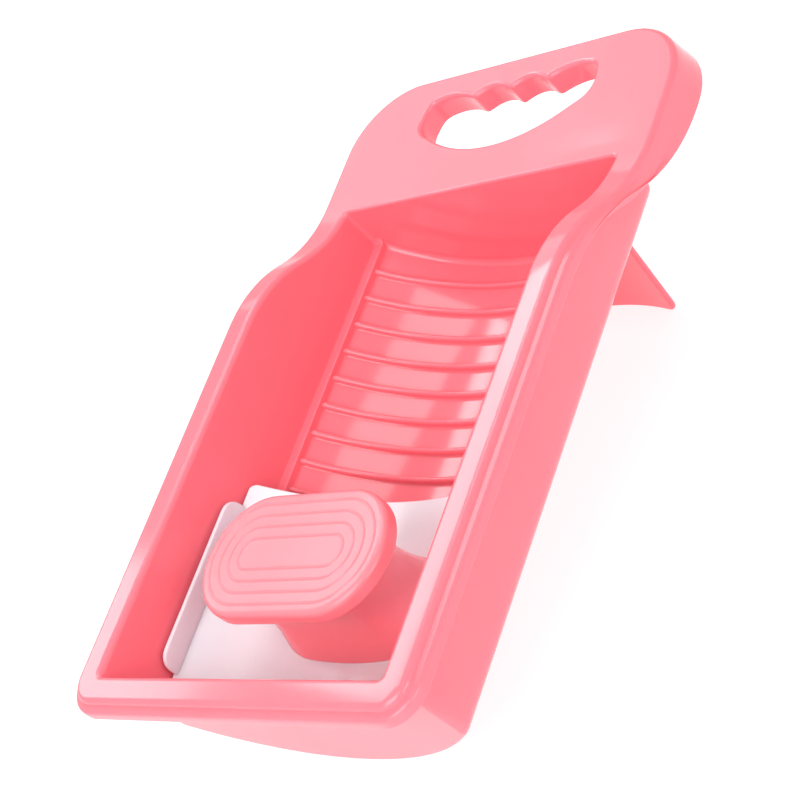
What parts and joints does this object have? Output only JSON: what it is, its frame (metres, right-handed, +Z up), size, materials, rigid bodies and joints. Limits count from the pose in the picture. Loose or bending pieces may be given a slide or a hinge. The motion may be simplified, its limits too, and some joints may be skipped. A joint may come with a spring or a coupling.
{
  "type": "hand washboard",
  "caption": "Hand washboard: a leaning plastic tray with a ribbed hollow floor, a carrying handle, a fold-out stand and a sliding rubbing tool.",
  "frame": {"origin": "on the ground under the middle of the washboard's bounding box, with the board leaning back on its open stand", "axes": "+X to the right across the board as seen by the person washing, +Y towards the raised handle, +Z up"},
  "size_m": [0.1772, 0.3056, 0.0957],
  "materials": {
    "pink_shell": "glossy",
    "pink_grip": "glossy",
    "milky_sole": "satin, milky and slightly see-through",
    "steel": "bright drawn wire"
  },
  "bodies": {
    "board": {"tray": "pink_shell", "stand_pin_left": "steel", "stand_pin_right": "steel"},
    "stand": {"stand_flap": "pink_shell"},
    "scrubber": {"sole_plate": "milky_sole", "grip_body": "pink_grip", "grip_cap": "pink_grip", "sole_screws": "steel"}
  },
  "joints": [
    {"name": "stand_hinge", "type": "hinge", "parent": "board", "child": "stand", "pos_m": [0, 0.08847, 0.03998], "axis": [1, 0, 0], "range_deg": [-80.6, 0]},
    {"name": "scrubber_slide", "type": "slide", "parent": "board", "child": "scrubber", "axis": [0, 0.9866, 0.1633], "range_m": [0, 0.12]}
  ]
}
